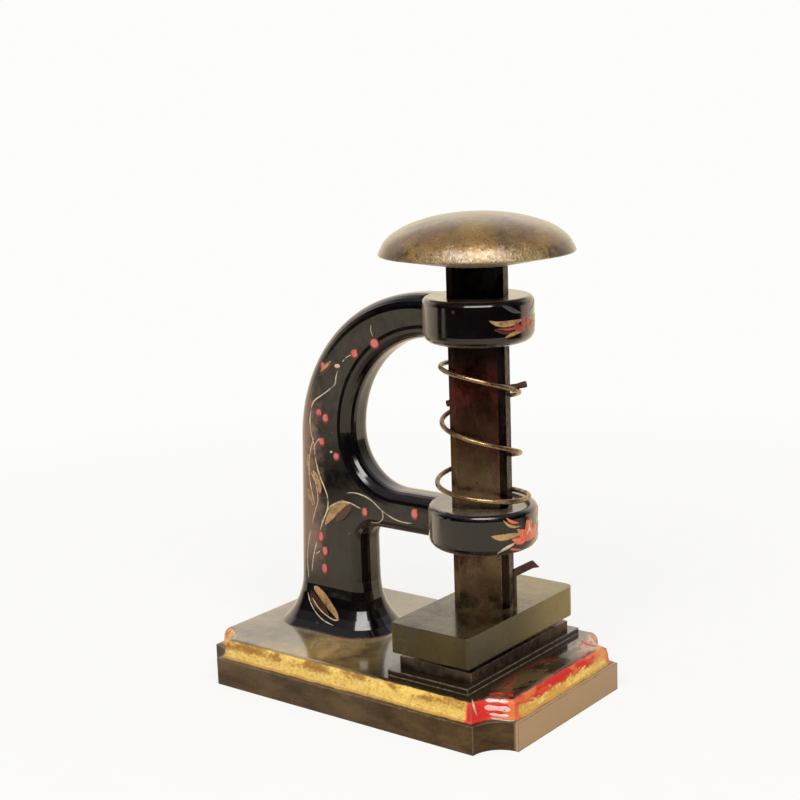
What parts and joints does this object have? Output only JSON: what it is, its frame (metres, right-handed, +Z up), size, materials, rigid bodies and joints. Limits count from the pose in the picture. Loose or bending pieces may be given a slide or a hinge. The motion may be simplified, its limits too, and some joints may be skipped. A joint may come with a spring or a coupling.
{
  "type": "hand-press check writer",
  "caption": "Desk hand press with a mushroom knob on a square plunger, a coil spring, a cast C frame and a pair of toothed dies.",
  "frame": {"origin": "middle of the base's underside, on the surface that it stands on", "axes": "+Z up along the plunger, +X from the column to the plunger along the base's long side, +Y along its short side"},
  "size_m": [0.135, 0.085, 0.1712],
  "materials": {
    "base_japan": "black japan with a worn gilt and red moulding",
    "frame_japan": "gloss black japan with painted vines",
    "screw_steel": "dull turned steel",
    "dowel_steel": "ground steel",
    "die_steel": "dark hardened steel",
    "spring_wire": "tarnished drawn wire",
    "bar_steel": "worn black and brown paint over steel",
    "rusty_steel": "dark red-brown rust",
    "knob_iron": "hand-worn brown cast iron",
    "plate_steel": "olive-grey worn steel"
  },
  "bodies": {
    "stand": {"base": "base_japan", "frame": "frame_japan", "frame_screws": "screw_steel", "frame_washers": "screw_steel", "foot_dowels": "dowel_steel", "lower_die": "die_steel", "lower_die_screws": "screw_steel", "lower_die_dowels": "dowel_steel", "spring": "spring_wire"},
    "plunger": {"plunger_bar": "bar_steel", "spring_pin": "rusty_steel", "knob": "knob_iron", "knob_stud": "dowel_steel", "presser_plate": "plate_steel", "presser_screw": "screw_steel", "presser_dowels": "dowel_steel", "upper_die": "die_steel", "upper_die_screws": "screw_steel", "upper_die_dowels": "dowel_steel", "guide_strip": "rusty_steel"}
  },
  "joints": [
    {"name": "plunger_slide", "type": "slide", "parent": "stand", "child": "plunger", "axis": [0, 0, 1], "range_m": [-0.0029, 0.007], "stiffness_N_per_m": 1700, "springref_m": 0.0044, "deforming": ["spring"]}
  ]
}
